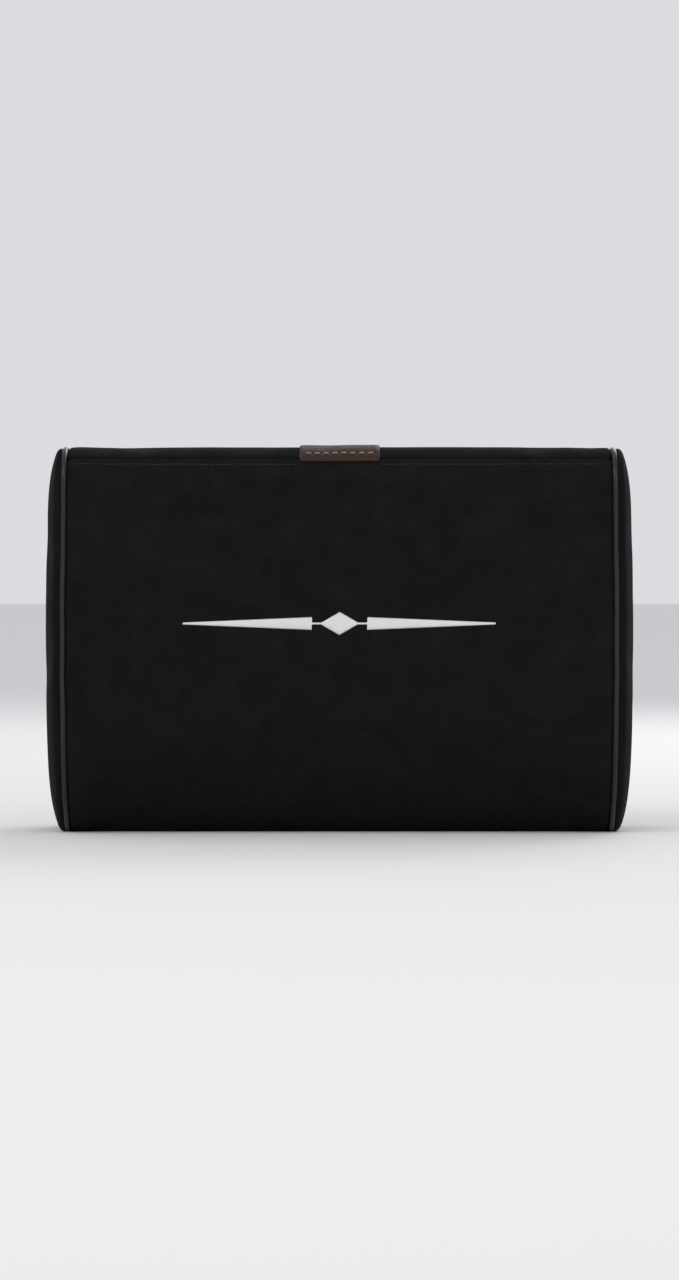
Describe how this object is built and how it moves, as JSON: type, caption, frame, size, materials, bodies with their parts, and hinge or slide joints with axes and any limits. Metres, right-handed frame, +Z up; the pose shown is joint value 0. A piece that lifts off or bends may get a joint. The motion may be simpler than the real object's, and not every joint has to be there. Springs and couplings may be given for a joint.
{
  "type": "lumbar support cushion",
  "caption": "Upright lumbar cushion for an office chair: a foam core in a piped, zipped velour cover with domed ends, a flat back and a small leather tab.",
  "frame": {"origin": "centre of the base, on the surface that the cushion stands on", "axes": "+X along the cushion, seen from the front towards its right-hand end; +Y from the front face to the flat back; +Z up"},
  "size_m": [0.3, 0.1, 0.1973],
  "materials": {
    "velour": "matte",
    "end_velour": "matte",
    "piping_satin": "satin",
    "liner_knit": "matte",
    "memory_foam": "matte",
    "zip_tape": "matte",
    "zip_coil": "satin",
    "zip_enamel": "satin",
    "tab_leather": "satin",
    "tab_thread": "matte",
    "motif_thread": "satin"
  },
  "bodies": {
    "cushion": {"foam_core": "memory_foam", "core_liner": "liner_knit", "front_panel": "velour", "back_panel_upper": "velour", "back_panel_lower": "velour", "left_end_panel": "end_velour", "right_end_panel": "end_velour", "piping_left": "piping_satin", "piping_right": "piping_satin", "zip_tape_upper": "zip_tape", "zip_tape_lower": "zip_tape", "zip_teeth_upper": "zip_coil", "zip_teeth_lower": "zip_coil", "zip_stop_closed_end": "zip_enamel", "zip_stop_open_end": "zip_enamel", "leather_tab": "tab_leather", "tab_stitching": "tab_thread", "embroidered_motif": "motif_thread"},
    "slider": {"zip_slider": "zip_enamel"},
    "pull": {"zip_pull": "zip_enamel"}
  },
  "joints": [
    {"name": "zip_slide", "type": "slide", "parent": "cushion", "child": "slider", "axis": [-1, 0, 0], "range_m": [0, 0.217]},
    {"name": "pull_hinge", "type": "hinge", "parent": "slider", "child": "pull", "pos_m": [0.1084, 0.04787, 0.06], "axis": [0, 0, -1], "range_deg": [0, 180]}
  ]
}
